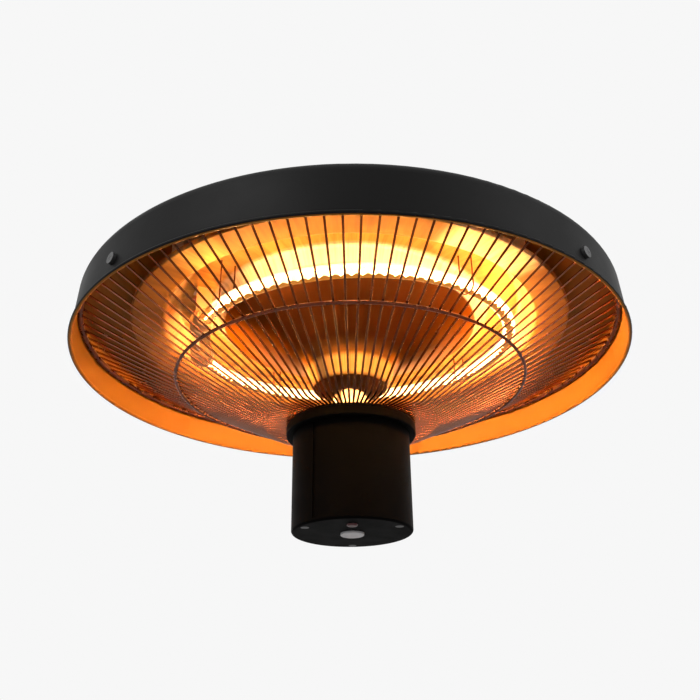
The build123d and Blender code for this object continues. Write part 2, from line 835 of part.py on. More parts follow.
with BuildPart() as guard_clips:
    with BuildSketch(Plane.XZ) as clip_profile:
        with BuildLine():
            Polyline(
                (skirt_seat(leg_low), lip_level + leg_low),
                (skirt_seat(ledge_top), lip_level + ledge_top),
                (skirt_seat(ledge_top) - guard_clip_ledge, lip_level + ledge_top),
                (skirt_seat(ledge_top) - guard_clip_ledge, lip_level + ledge_low),
                (skirt_seat(ledge_low) - guard_clip_wall, lip_level + ledge_low),
                (skirt_seat(leg_low) - guard_clip_wall, lip_level + leg_low),
                close=True,
            )
        make_face()
    ledge_clip = revolve(clip_profile.sketch, axis=Axis.Z, revolution_arc=guard_clip_arc, mode=Mode.PRIVATE)
    for clip_angle in guard_clip_angles:
        add(ledge_clip.rotate(Axis.Z, clip_angle - guard_clip_arc / 2))
    for clip_angle in guard_clip_angles:
        with Locations(clip_screw_plane(clip_angle)):
            Hole(guard_clip_screw_radius + hole_clearance, depth=4 * guard_clip_wall)
save(guard_clips, "guard_clips")

clip_grip = skirt_outer(clip_screw_height) - skirt_seat(clip_screw_height) + guard_clip_wall + 2 * seat_gap
with BuildPart() as guard_clip_screws:
    for clip_angle in guard_clip_angles:
        with Locations(clip_screw_plane(clip_angle).offset(seat_gap)):
            Cylinder(guard_clip_screw_radius * screw_head_ratio,
                     guard_clip_screw_radius * screw_head_height_ratio,
                     align=(Align.CENTER, Align.CENTER, Align.MIN))
            Cylinder(guard_clip_screw_radius, clip_grip + guard_clip_nut_thickness + guard_clip_screw_tail,
                     align=(Align.CENTER, Align.CENTER, Align.MAX))
save(guard_clip_screws, "guard_clip_screws")

with BuildPart() as guard_clip_nuts:
    for clip_angle in guard_clip_angles:
        with BuildSketch(clip_screw_plane(clip_angle).offset(-clip_grip)):
            RegularPolygon(round_hex(guard_clip_nut_flats), 6)
            Circle(guard_clip_screw_radius + thread_clearance, mode=Mode.SUBTRACT)
        extrude(amount=-guard_clip_nut_thickness)
save(guard_clip_nuts, "guard_clip_nuts")

# Pivot bracket: strap on the crown with an ear at each end
with BuildPart() as pivot_bracket:
    with BuildSketch(Plane.YZ) as bracket_profile:
        with BuildLine():
            bracket_path = FilletPolyline(
                (-bracket_half_span, pivot_level + strap_width / 2),
                (-bracket_half_span, crown_level),
                (bracket_half_span, crown_level),
                (bracket_half_span, pivot_level + strap_width / 2),
                radius=bracket_bend,
            )
            offset(bracket_path, amount=bracket_thickness, side=Side.LEFT)
        make_face()
    extrude(amount=strap_width / 2, both=True)
    ear_corners = pivot_bracket.edges().filter_by(Axis.Y).filter_by(
        lambda edge: edge.center().Z > pivot_level and edge.length < 2 * bracket_thickness)
    fillet(ear_corners, strap_width / 2 - seat_gap)
    with BuildSketch(Plane.XZ.offset(-2 * bracket_half_span)):
        with Locations((0, pivot_level)):
            Circle(pivot_bolt_radius + thread_clearance)
    extrude(amount=4 * bracket_half_span, mode=Mode.SUBTRACT)
    with Locations((0, 0, strap_top)):
        Hole(thread_bore, depth=2 * bracket_thickness)
save(pivot_bracket, "pivot_bracket")

# Hanging bail: inverted U strap that straddles the ears
bail_inner = bracket_half_span + pivot_side_gap
with BuildPart() as hanging_bail:
    with BuildSketch(Plane.YZ) as bail_profile:
        with BuildLine():
            bail_path = FilletPolyline(
                (-bail_inner, pivot_level - strap_width / 2),
                (-bail_inner, pivot_level + bail_rise),
                (bail_inner, pivot_level + bail_rise),
                (bail_inner, pivot_level - strap_width / 2),
                radius=bail_corner,
            )
            offset(bail_path, amount=bail_thickness, side=Side.LEFT)
        make_face()
    extrude(amount=strap_width / 2, both=True)
    leg_corners = hanging_bail.edges().filter_by(Axis.Y).filter_by(
        lambda edge: edge.center().Z < pivot_level and edge.length < 2 * bail_thickness)
    fillet(leg_corners, strap_width / 2 - seat_gap)
    with BuildSketch(Plane.XZ.offset(-2 * bracket_half_span)):
        with Locations((0, pivot_level)):
            Circle(pivot_bolt_radius + pivot_clearance)
    extrude(amount=4 * bracket_half_span, mode=Mode.SUBTRACT)
    with Locations((0, 0, bail_thickness / 2)):
        Hole(hanging_hole_radius, depth=2 * bail_thickness)
save(hanging_bail, "hanging_bail")

# Pivot bolts, washers and nuts, one set a side
washer_seat = bail_inner + bail_thickness + pivot_side_gap
head_seat = washer_seat + pivot_washer_thickness
nut_seat = bracket_half_span - bracket_thickness
side_planes = [Plane(origin=(0, 0, pivot_level), x_dir=(1, 0, 0), z_dir=(0, side, 0)) for side in (-1, 1)]
bolt_end = nut_seat - pivot_nut_thickness - pivot_bolt_tail
with BuildPart() as pivot_bolts:
    for plane in side_planes:
        with Locations(plane.offset(bolt_end)):
            Cylinder(pivot_bolt_radius, head_seat - bolt_end, align=(Align.CENTER, Align.CENTER, Align.MIN))
        with Locations(plane.offset(head_seat)):
            Cylinder(pivot_head_radius, pivot_head_height, align=(Align.CENTER, Align.CENTER, Align.MIN))
    outer_edges = pivot_bolts.edges().filter_by(GeomType.CIRCLE).group_by(Axis.Y)
    fillet([outer_edges[0], outer_edges[-1]], pivot_head_height / 3)
save(pivot_bolts, "pivot_bolts")

with BuildPart() as pivot_washers:
    for plane in side_planes:
        with BuildSketch(plane.offset(washer_seat)):
            Circle(pivot_washer_radius)
            Circle(pivot_bolt_radius + thread_clearance, mode=Mode.SUBTRACT)
        extrude(amount=pivot_washer_thickness)
save(pivot_washers, "pivot_washers")

with BuildPart() as pivot_nuts:
    for plane in side_planes:
        with BuildSketch(plane.offset(nut_seat)):
            RegularPolygon(round_hex(pivot_nut_flats), 6)
            Circle(pivot_bolt_radius + thread_clearance, mode=Mode.SUBTRACT)
        extrude(amount=-pivot_nut_thickness)
save(pivot_nuts, "pivot_nuts")

# Junction cover: hat over the wiring, slotted for the bracket's strap
cover_top = crown_level + cover_height
gland_level = crown_level + gland_height
slot_half = strap_width / 2 + ring_clearance
with BuildPart() as junction_cover:
    with BuildSketch(Plane.XZ) as cover_profile:
        with BuildLine():
            cover_path = FilletPolyline(
                (cover_flange_radius, crown_level + cover_wall),
                (cover_radius, crown_level + cover_wall),
                (cover_radius, cover_top),
                (0, cover_top),
                radius=[cover_flange_round, cover_round],
            )
            Polyline(
                cover_path @ 1,
                (0, cover_top - cover_wall),
                (cover_radius - cover_wall - cover_round / 2, cover_top - cover_wall),
                (cover_radius - cover_wall, cover_top - cover_wall - cover_round / 2),
                (cover_radius - cover_wall, crown_level),
                (cover_flange_radius, crown_level),
                cover_path @ 0,
            )
        make_face()
    revolve(axis=Axis.Z)
    with BuildSketch(Plane.XZ.offset(-2 * cover_radius)):
        with Locations((0, crown_level + bracket_thickness / 2)):
            Rectangle(2 * slot_half, bracket_thickness + 2 * ring_clearance)
    extrude(amount=4 * cover_radius, mode=Mode.SUBTRACT)
    with BuildSketch(Plane.XY.offset(crown_level)):
        with Locations((0, cover_flange_radius), (0, -cover_flange_radius)):
            Rectangle(2 * slot_half, 2 * (cover_flange_width - cover_strap_cut))
    extrude(amount=cover_height, mode=Mode.SUBTRACT)
    with Locations(Plane.XY.offset(crown_level + cover_wall)):
        with PolarLocations(cover_screw_circle, cover_screw_count, start_angle=360 / cover_screw_count / 2):
            Hole(cover_screw_radius + hole_clearance, depth=2 * cover_wall)
    with BuildSketch(Plane.YZ.offset(cover_radius / 2)):
        with Locations((0, gland_level)):
            Circle(gland_thread_radius + hole_clearance)
    extrude(amount=cover_radius, mode=Mode.SUBTRACT)
save(junction_cover, "junction_cover")

with BuildPart() as cover_screws:
    with Locations(Plane.XY.offset(crown_level + cover_wall)):
        with PolarLocations(cover_screw_circle, cover_screw_count, start_angle=360 / cover_screw_count / 2):
            Cylinder(cover_screw_radius * screw_head_ratio, cover_screw_radius * screw_head_height_ratio,
                     align=(Align.CENTER, Align.CENTER, Align.MIN))
            Cylinder(cover_screw_radius, cover_screw_length, align=(Align.CENTER, Align.CENTER, Align.MAX))
save(cover_screws, "cover_screws")

# Cable gland and its nut in the cover's side
gland_seat = cover_radius + seat_gap
with BuildPart() as cable_gland:
    with BuildSketch(Plane.YZ.offset(gland_seat)):
        with Locations((0, gland_level)):
            RegularPolygon(gland_body_radius, 6)
    extrude(amount=gland_body_length / 3)
    with BuildSketch(Plane.YZ.offset(gland_seat + gland_body_length / 3)):
        with Locations((0, gland_level)):
            Circle(gland_body_radius * cos(pi / 6))
    extrude(amount=2 * gland_body_length / 3)
    fillet(cable_gland.faces().sort_by(Axis.X)[-1].edges(), gland_round)
    with BuildSketch(Plane.YZ.offset(gland_seat - gland_inside_length)):
        with Locations((0, gland_level)):
            Circle(gland_thread_radius)
    extrude(amount=gland_inside_length)
    with BuildSketch(Plane.YZ.offset(gland_seat - gland_inside_length)):
        with Locations((0, gland_level)):
            Circle(gland_bore)
    extrude(amount=gland_inside_length + gland_body_length, mode=Mode.SUBTRACT)
save(cable_gland, "cable_gland")

gland_nut_face = sqrt((cover_radius - cover_wall) ** 2 - round_hex(gland_nut_flats) ** 2) - seat_gap
with BuildPart() as gland_nut:
    with BuildSketch(Plane.YZ.offset(gland_nut_face)):
        with Locations((0, gland_level)):
            RegularPolygon(round_hex(gland_nut_flats), 6)
            Circle(gland_thread_radius + thread_clearance, mode=Mode.SUBTRACT)
    extrude(amount=-gland_nut_thickness)
save(gland_nut, "gland_nut")

# Terminal block on the crown, with three screws to a side
with BuildPart() as terminal_block:
    with BuildSketch(Plane.XY.offset(crown_level)):
        with Locations((terminal_x, 0)):
            RectangleRounded(terminal_width, terminal_length, terminal_round)
    extrude(amount=terminal_height)
    with Locations(Plane.XY.offset(crown_level + terminal_height)):
        with Locations((terminal_x, -terminal_pitch), (terminal_x, terminal_pitch)):
            Hole(terminal_screw_radius, depth=terminal_height / 2)
save(terminal_block, "terminal_block")

# Hub lid: thick flange over the housing, with a spigot inside it
hub_inner = hub_radius - hub_wall
with BuildPart() as hub_lid:
    with BuildSketch(Plane.XY.offset(hub_level)):
        Circle(hub_flange_radius)
    extrude(amount=-hub_flange_height)
    fillet(hub_lid.edges().filter_by(GeomType.CIRCLE), hub_edge_round)
    with BuildSketch(Plane.XY.offset(housing_level)):
        Circle(hub_inner - hole_clearance)
    extrude(amount=-hub_spigot)
    with BuildSketch(Plane.XY.offset(housing_level - hub_spigot)):
        Circle(hub_inner - hole_clearance - hub_wall)
    extrude(amount=hub_spigot + hub_flange_height - hub_flange_web, mode=Mode.SUBTRACT)
    with Locations((0, 0, hub_level)):
        Hole(thread_bore, depth=2 * hub_flange_height)
save(hub_lid, "hub_lid")

# Hub housing: tube with an outside seam, a notch at its top and screw bosses at its foot
with BuildPart() as hub_housing:
    with BuildSketch(Plane.XY.offset(base_level)):
        Circle(hub_radius)
        Circle(hub_inner, mode=Mode.SUBTRACT)
    extrude(amount=hub_length)
    with BuildSketch(Plane.XY.offset(base_level)):
        with PolarLocations(base_screw_circle, base_screw_count, start_angle=90):
            Circle(base_boss_radius)
        Circle(hub_radius, mode=Mode.INTERSECT)
    extrude(amount=base_boss_height)
    seam_plane = Plane.XY.offset(base_level).rotated((0, 0, seam_angle))
    with BuildSketch(seam_plane):
        with Locations((hub_radius, 0)):
            Rectangle(2 * seam_depth, seam_width)
    extrude(amount=hub_length, mode=Mode.SUBTRACT)
    with BuildSketch(seam_plane.offset(hub_length - notch_height)):
        with Locations((hub_radius, (notch_width - seam_width) / 2)):
            Rectangle(3 * seam_depth, notch_width)
    extrude(amount=notch_height, mode=Mode.SUBTRACT)
    with Locations(Plane.XY.offset(base_level)):
        with PolarLocations(base_screw_circle, base_screw_count, start_angle=90):
            Cylinder(base_screw_radius + thread_clearance, base_screw_length,
                     align=(Align.CENTER, Align.CENTER, Align.MIN), mode=Mode.SUBTRACT)
save(hub_housing, "hub_housing")

# Hub base: bottom plate with the button's hole, the lens hole and the board's pillars
board_level = base_level + board_height
with BuildPart() as hub_base:
    with BuildSketch(Plane.XY.offset(base_bottom)):
        Circle(hub_radius)
    extrude(amount=base_thickness)
    fillet(hub_base.edges().group_by(Axis.Z)[0], base_round)
    with BuildSketch(Plane.XY.offset(base_level)):
        with PolarLocations(board_pillar_circle, board_pillar_count, start_angle=90):
            Circle(board_pillar_radius)
    extrude(amount=board_height)
    with BuildSketch(Plane.XY.offset(board_level)):
        with PolarLocations(board_pillar_circle, board_pillar_count, start_angle=90):
            Circle(board_pin_radius)
    extrude(amount=board_thickness + board_pin_rise)
    with Locations((0, 0, base_level)):
        Hole(button_hole_radius, depth=2 * base_thickness)
    with Locations((0, -lens_offset, base_level)):
        Hole(lens_radius + hole_clearance, depth=2 * base_thickness)
    with Locations(Plane.XY.offset(base_bottom)):
        with PolarLocations(base_screw_circle, base_screw_count, start_angle=90):
            Cylinder(base_screw_radius + hole_clearance, base_thickness,
                     align=(Align.CENTER, Align.CENTER, Align.MIN), mode=Mode.SUBTRACT)
            Cylinder(base_head_radius + hole_clearance, base_head_height,
                     align=(Align.CENTER, Align.CENTER, Align.MIN), mode=Mode.SUBTRACT)
save(hub_base, "hub_base")

with BuildPart() as hub_screws:
    with Locations(Plane.XY.offset(base_bottom)):
        with PolarLocations(base_screw_circle, base_screw_count, start_angle=90):
            Cylinder(base_head_radius, base_head_height, align=(Align.CENTER, Align.CENTER, Align.MIN))
            Cylinder(base_screw_radius, base_screw_length, align=(Align.CENTER, Align.CENTER, Align.MIN))
save(hub_screws, "hub_screws")

# Control board with its switch and relay
with BuildPart() as control_board:
    with BuildSketch(Plane.XY.offset(board_level)):
        Circle(board_radius)
        with PolarLocations(board_pillar_circle, board_pillar_count, start_angle=90):
            Circle(board_pin_radius + hole_clearance, mode=Mode.SUBTRACT)
    extrude(amount=board_thickness)
save(control_board, "control_board")

with BuildPart() as button_switch:
    with Locations((0, 0, board_level)):
        Box(switch_side, switch_side, switch_height, align=(Align.CENTER, Align.CENTER, Align.MAX))
    fillet(button_switch.edges().filter_by(Axis.Z), switch_round)
save(button_switch, "button_switch")

with BuildPart() as relay:
    with Locations((relay_x, 0, board_level + board_thickness)):
        Box(relay_width, relay_length, relay_height, align=(Align.CENTER, Align.CENTER, Align.MIN))
    fillet(relay.edges().filter_by(Axis.Z), relay_round)
save(relay, "relay")

# Power button: cap through the base, held by a flange, with a plunger under the switch
button_flange_level = base_level + button_seat_gap
plunger_top = board_level - switch_height - button_stroke - switch_gap
with BuildPart() as power_button:
    with Locations((0, 0, base_bottom - button_proud)):
        Cylinder(button_radius, button_flange_level - base_bottom + button_proud,
                 align=(Align.CENTER, Align.CENTER, Align.MIN))
    fillet(power_button.edges().group_by(Axis.Z)[0], button_round)
    with Locations((0, 0, button_flange_level)):
        Cylinder(button_flange_radius, button_flange, align=(Align.CENTER, Align.CENTER, Align.MIN))
        Cylinder(button_plunger_radius, plunger_top - button_flange_level,
                 align=(Align.CENTER, Align.CENTER, Align.MIN))
save(power_button, "power_button")

# Receiver lens in the base
with BuildPart() as receiver_lens:
    with Locations((0, -lens_offset, base_bottom - lens_proud)):
        Cylinder(lens_radius, base_thickness + lens_proud, align=(Align.CENTER, Align.CENTER, Align.MIN))
    fillet(receiver_lens.edges().group_by(Axis.Z)[0], lens_proud)
    with Locations((0, -lens_offset, base_level)):
        Cylinder(lens_flange_radius, lens_flange, align=(Align.CENTER, Align.CENTER, Align.MIN))
save(receiver_lens, "receiver_lens")

# Control cable: from the board up the stem and over to the terminal block
cable_top = cover_top - cover_wall - control_cable_headroom - control_cable_radius
with BuildPart() as control_cable:
    with BuildLine(Plane.XZ):
        cable_path = FilletPolyline(
            (0, board_level + board_thickness),
            (0, cable_top),
            (terminal_x, cable_top),
            (terminal_x, crown_level + terminal_height),
            radius=control_cable_bend,
        )
    with BuildSketch(Plane(origin=cable_path @ 0, z_dir=cable_path % 0)):
        Circle(control_cable_radius)
    sweep(path=cable_path)
save(control_cable, "control_cable")
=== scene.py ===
"""Studio scene of a hanging infrared patio heater, in metres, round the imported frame."""

from math import pi, radians, sin, tan

import bpy
from mathutils import Matrix, Vector


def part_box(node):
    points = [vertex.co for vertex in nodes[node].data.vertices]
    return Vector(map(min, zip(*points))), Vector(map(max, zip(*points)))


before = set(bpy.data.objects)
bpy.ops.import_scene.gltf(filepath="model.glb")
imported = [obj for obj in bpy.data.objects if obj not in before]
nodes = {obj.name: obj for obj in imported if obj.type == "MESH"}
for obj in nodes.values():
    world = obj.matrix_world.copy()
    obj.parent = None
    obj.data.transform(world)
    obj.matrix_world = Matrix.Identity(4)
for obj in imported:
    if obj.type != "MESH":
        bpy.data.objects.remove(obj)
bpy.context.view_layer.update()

scene = bpy.context.scene

# Camera: its picture's sizes in pixels, its sensor's width in millimetres, its angles in degrees
PICTURE_WIDTH = 700.0
PICTURE_SHIFT = 1.0
FOCAL_LENGTH = 823.3
SENSOR_WIDTH = 36.0
CAMERA_DISTANCE = 0.5890
CAMERA_DROP = 0.2692
CAMERA_PITCH = 26.04
CAMERA_ROLL = -0.73
NEAR_CLIP = 0.01
FAR_CLIP = 50.0

# Shade
LIP_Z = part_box("shade")[0][2]

# Reflector, from its rim inwards
REFLECTOR_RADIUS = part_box("reflector")[1][0]
FLANGE_WIDTH = 0.023
WALL_RUN = 0.012
CHANNEL_WIDTH = 0.028
RIDGE_RUN = 0.007
FLANGE_INNER = REFLECTOR_RADIUS - FLANGE_WIDTH
CHANNEL_OUTER = FLANGE_INNER - WALL_RUN
CHANNEL_INNER = CHANNEL_OUTER - CHANNEL_WIDTH
CONE_EDGE = CHANNEL_INNER - RIDGE_RUN
CONE_FOOT = 0.037
BOSS_RADIUS = 0.0285

# Radii between which the flange turns duller
DULL_START = FLANGE_INNER - 0.0045
DULL_FULL = FLANGE_INNER + 0.0020

# Painted light and shade bands, one per zone: tint, the radius where it starts to show and the radius where
# it is full
REFLECTOR_PAINTED_BANDS = {
    "flange": ((0.21, 0.088, 0.010), FLANGE_INNER - 0.0045, FLANGE_INNER - 0.0005),
    "channel": ((0.42, 0.21, 0.055), CHANNEL_OUTER + 0.0010, CHANNEL_OUTER - 0.0030),
    "ridge": ((0.90, 0.78, 0.58), CHANNEL_INNER + 0.0050, CHANNEL_INNER - 0.0020),
    "cone": ((0.085, 0.022, 0.004), CONE_EDGE + 0.0010, CONE_EDGE - 0.0020),
    "cone foot": ((0.12, 0.045, 0.010), CONE_FOOT + 0.0090, CONE_FOOT + 0.0010),
    "foot ring": ((0.56, 0.34, 0.10), CONE_FOOT - 0.0020, CONE_FOOT - 0.0040),
    "boss": ((0.10, 0.038, 0.010), BOSS_RADIUS + 0.0015, BOSS_RADIUS - 0.0003),
}

# Painted highlights on the flange: tint, first and last direction in degrees, from the right towards the back
FLANGE_PAINTED_GLINTS = (
    ((0.80, 0.62, 0.34), -65.0, -41.0),
    ((0.50, 0.30, 0.08), -134.0, -124.0),
)
GLINT_FADE_OUTSIDE = 5.0
GLINT_FADE_INSIDE = 2.0

# Lathe marks: drift of the rings with the angle, and reach of the streaks along the radius
RING_DRIFT = 0.002
STREAK_REACH = 0.6

# Quartz tube and the coil in it, with angles in degrees
TUBE_INSET = 0.0133
TUBE_RING_RADIUS = CHANNEL_OUTER - TUBE_INSET
TUBE_CENTRE_X = 0.003
TUBE_RISE = 0.0245
TUBE_TILT = 3.0
TUBE_SIDE_TILT = 1.45
TUBE_RADIUS = 0.005
COIL_START = -143.0
COIL_END = 169.0
COIL_CURLS = 93
GLOW_LEAD = 0.5
GLOW_FADE = 1.5

# Painted amber glow strip along the tube's lower edge, whose top has the coil's teeth
STRIP_HEIGHT = 0.0003
STRIP_EDGE = 0.0001
TOOTH_RISE = 0.00085

# Cross recess of a screw, in shares of its head's radius
RECESS_ARM = 0.11
RECESS_ARM_EDGE = 0.17
RECESS_REACH = 0.52
RECESS_REACH_EDGE = 0.60

# Studio
FLOOR_REACH = 14.0
FLOOR_Z = -1.75
FLOOR_GLOW = 0.62
WORLD_COLOUR = (0.93, 0.93, 0.93)
WORLD_LIGHT = 0.35
LAMP_TARGET = Vector((0.0, 0.0, -0.15))

# Name, place, width and power of each lamp
LAMPS = (
    ("key", (-1.6, -1.9, 1.6), 1.6, 38.0),
    ("fill", (2.0, -1.2, 0.9), 1.6, 16.0),
    ("back", (0.6, 2.2, 1.4), 1.4, 20.0),
)

# Part of a noise's reach over which a roughness drifts
NOISE_LOW = 0.3
NOISE_HIGH = 0.7

# Shader sockets by short names
SOCKETS = {
    "base": "Base Color",
    "rough": "Roughness",
    "metal": "Metallic",
    "ior": "IOR",
    "specular": "Specular IOR Level",
    "edge": "Specular Tint",
    "anisotropic": "Anisotropic",
    "turn": "Anisotropic Rotation",
    "tangent": "Tangent",
    "normal": "Normal",
    "through": "Transmission Weight",
    "glow": "Emission Color",
    "glow_strength": "Emission Strength",
}


def place_camera():
    """Looks up under the shade from the front."""
    data = bpy.data.cameras.new("camera")
    data.sensor_width = SENSOR_WIDTH
    data.lens = SENSOR_WIDTH * FOCAL_LENGTH / PICTURE_WIDTH
    data.shift_y = PICTURE_SHIFT / PICTURE_WIDTH
    data.clip_start = NEAR_CLIP
    data.clip_end = FAR_CLIP
    camera = bpy.data.objects.new("camera", data)
    scene.collection.objects.link(camera)
    camera.matrix_world = (
        Matrix.Translation((0.0, -CAMERA_DISTANCE, LIP_Z - CAMERA_DROP))
        @ Matrix.Rotation(radians(90.0 + CAMERA_PITCH), 4, "X")
        @ Matrix.Rotation(radians(CAMERA_ROLL), 4, "Z")
    )
    scene.camera = camera


class Tree:
    """Short ways to add shader nodes to a tree and to link them."""

    def __init__(self, tree):
        self.tree = tree

    def add(self, kind, **settings):
        node = self.tree.nodes.new("ShaderNode" + kind)
        for name, value in settings.items():
            setattr(node, name, value)
        return node

    def put(self, socket, value):
        """Links a socket to an output, or gives it a number or a colour."""
        if hasattr(value, "is_output"):
            self.tree.links.new(value, socket)
        elif socket.type == "RGBA":
            socket.default_value = (*value, 1.0)
        else:
            socket.default_value = value

    def math(self, operation, first, second=0.0):
        node = self.add("Math", operation=operation)
        self.put(node.inputs[0], first)
        self.put(node.inputs[1], second)
        return node.outputs[0]

    def plus(self, first, second):
        return self.math("ADD", first, second)

    def minus(self, first, second):
        return self.math("SUBTRACT", first, second)

    def times(self, first, second):
        return self.math("MULTIPLY", first, second)

    def over(self, first, second):
        return self.math("DIVIDE", first, second)

    def hypotenuse(self, first, second):
        return self.math("SQRT", self.plus(self.times(first, first), self.times(second, second)))

    def span(self, value, low, high, to_low=0.0, to_high=1.0, smooth=False):
        """Maps low..high to to_low..to_high and holds the value beyond both ends."""
        node = self.add("MapRange", interpolation_type="SMOOTHSTEP" if smooth else "LINEAR")
        self.put(node.inputs["Value"], value)
        self.put(node.inputs["From Min"], low)
        self.put(node.inputs["From Max"], high)
        self.put(node.inputs["To Min"], to_low)
        self.put(node.inputs["To Max"], to_high)
        return node.outputs["Result"]

    def mix(self, share, first, second):
        """Goes from the first colour to the second as the share goes from 0 to 1."""
        node = self.add("Mix", data_type="RGBA")
        self.put(node.inputs[0], share)
        self.put(node.inputs[6], first)
        self.put(node.inputs[7], second)
        return node.outputs[2]

    def vector(self, x, y):
        node = self.add("CombineXYZ")
        self.put(node.inputs["X"], x)
        self.put(node.inputs["Y"], y)
        return node.outputs[0]

    def split(self, vector):
        node = self.add("SeparateXYZ")
        self.put(node.inputs[0], vector)
        return node.outputs


class Surface(Tree):
    """A material with one principled shader. Its x, y and z are a point's place on the heater at rest."""

    def __init__(self, name):
        self.material = bpy.data.materials.new(name)
        self.material.use_nodes = True
        super().__init__(self.material.node_tree)
        self.shader = self.tree.nodes["Principled BSDF"]
        self.output = self.tree.nodes["Material Output"]
        self.coords = self.add("TexCoord").outputs
        self.x, self.y, self.z = self.split(self.coords["Object"])

    def set(self, **values):
        for name, value in values.items():
            self.put(self.shader.inputs[SOCKETS[name]], value)

    def radius(self, centre_x=0.0):
        return self.hypotenuse(self.minus(self.x, centre_x), self.y)

    def angle(self, centre_x=0.0):
        return self.math("ARCTAN2", self.y, self.minus(self.x, centre_x))

    def noise(self, scale, detail=3.0, roughness=0.55, vector=None):
        node = self.add("TexNoise")
        self.put(node.inputs["Vector"], vector or self.coords["Object"])
        self.put(node.inputs["Scale"], scale)
        self.put(node.inputs["Detail"], detail)
        self.put(node.inputs["Roughness"], roughness)
        return node.outputs["Fac"]

    def drift(self, noise, middle, spread):
        """A number that drifts with a noise, as far as the spread on each side of the middle."""
        return self.span(noise, NOISE_LOW, NOISE_HIGH, middle - spread, middle + spread)

    def bump(self, height, distance, strength):
        node = self.add("Bump")
        self.put(node.inputs["Height"], height)
        self.put(node.inputs["Distance"], distance)
        self.put(node.inputs["Strength"], strength)
        self.set(normal=node.outputs["Normal"])

    def light_shadows(self, colour):
        """Lets light pass, so that a shadow sees a tinted clear sheet in place of the shader."""
        clear = self.add("BsdfTransparent")
        self.put(clear.inputs["Color"], colour)
        blend = self.add("MixShader")
        self.put(blend.inputs[0], self.add("LightPath").outputs["Is Shadow Ray"])
        self.put(blend.inputs[1], self.shader.outputs[0])
        self.put(blend.inputs[2], clear.outputs[0])
        self.put(self.output.inputs["Surface"], blend.outputs[0])


class SpunSurface(Surface):
    """Sheet spun on a lathe: marks run round its axis, and its highlight spreads across them."""

    def __init__(self, name, anisotropic):
        super().__init__(name)
        radius = self.radius()
        angle = self.angle()
        rings = self.vector(radius, self.times(angle, RING_DRIFT))
        rays = self.vector(angle, self.times(radius, STREAK_REACH))
        fine = self.noise(1500.0, detail=2.0, roughness=0.6, vector=rings)
        self.broad = self.noise(60.0, detail=3.0, roughness=0.6, vector=rings)
        self.streak = self.noise(34.0, detail=4.0, roughness=0.6, vector=rays)
        self.bump(fine, distance=0.000009, strength=0.5)
        tangent = self.add("Tangent", direction_type="RADIAL", axis="Z")
        self.set(metal=1.0, anisotropic=anisotropic, turn=0.25, tangent=tangent.outputs[0])

    def shades(self, colour, deep):
        """Drifts between two colours of the same metal."""
        return self.mix(self.times(self.broad, self.noise(14.0)), colour, deep)

    def streaked(self, base):
        """Adds faint dark streaks that run outward."""
        share = self.span(self.streak, low=0.42, high=0.68, to_high=0.4)
        return self.mix(share, base, (0.08, 0.035, 0.01))

    def blurred(self, rough):
        """Lets a roughness drift from ring to ring."""
        return self.plus(rough, self.span(self.broad, low=0.25, high=0.75, to_low=-0.04, to_high=0.05))


def shaded(colour, share):
    """The same colour, darker or lighter."""
    return tuple(min(1.0, share * part) for part in colour)


def dress(material, *names):
    """Gives one material to the named nodes."""
    for name in names:
        materials = nodes[name].data.materials
        materials.clear()
        materials.append(material)


def shade_enamel():
    """Black powder coat outside; inside, warm paint darkened and tinted orange as painted glow and shade."""
    t = Surface("shade_enamel")
    normal_x, normal_y, normal_z = t.split(t.coords["Normal"])
    reach = t.plus(t.times(t.x, normal_x), t.times(t.y, normal_y))
    facing = t.plus(t.over(reach, t.radius()), t.times(normal_z, 0.8))
    outside = t.span(facing, low=-0.25, high=0.05)
    mottle = t.noise(26.0)
    black = t.mix(mottle, (0.0035, 0.0034, 0.0035), (0.006, 0.0058, 0.0058))
    # Painted glow and shade: the inside's paint is darkened and tinted orange like the tube's light
    inside_paint_and_painted_glow = t.mix(mottle, (0.185, 0.074, 0.009), (0.205, 0.083, 0.011))
    t.set(base=t.mix(outside, inside_paint_and_painted_glow, black), rough=t.drift(mottle, middle=0.5, spread=0.04), ior=1.18)
    t.bump(t.noise(520.0, detail=2.0), distance=0.00012, strength=0.35)
    return t.material


